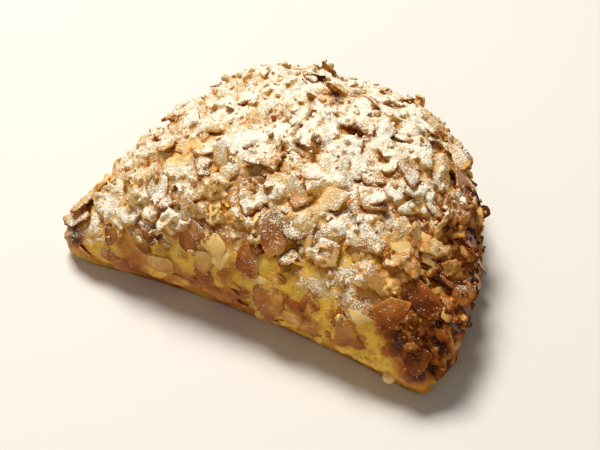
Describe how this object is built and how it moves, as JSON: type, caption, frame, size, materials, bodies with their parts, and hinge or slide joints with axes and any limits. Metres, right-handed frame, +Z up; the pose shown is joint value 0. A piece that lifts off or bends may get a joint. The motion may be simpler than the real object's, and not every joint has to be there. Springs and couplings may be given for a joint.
{
  "type": "almond-crusted apple turnover",
  "caption": "Half-moon puff pastry folded over an apple filling, its dome crusted with flaked almonds and dusted with icing sugar. Rests on its flat underside.",
  "frame": {"origin": "on the underside, midway along the fold and midway from the fold to the sealed rim", "axes": "+X along the fold towards the shorter, curled tip, +Y from the fold to the sealed rim, +Z up"},
  "size_m": [0.1357, 0.0947, 0.0534],
  "materials": {
    "crust": "baked golden crust with toasted almond flakes and icing sugar"
  },
  "bodies": {
    "root": {"turnover": "crust"}
  },
  "joints": []
}
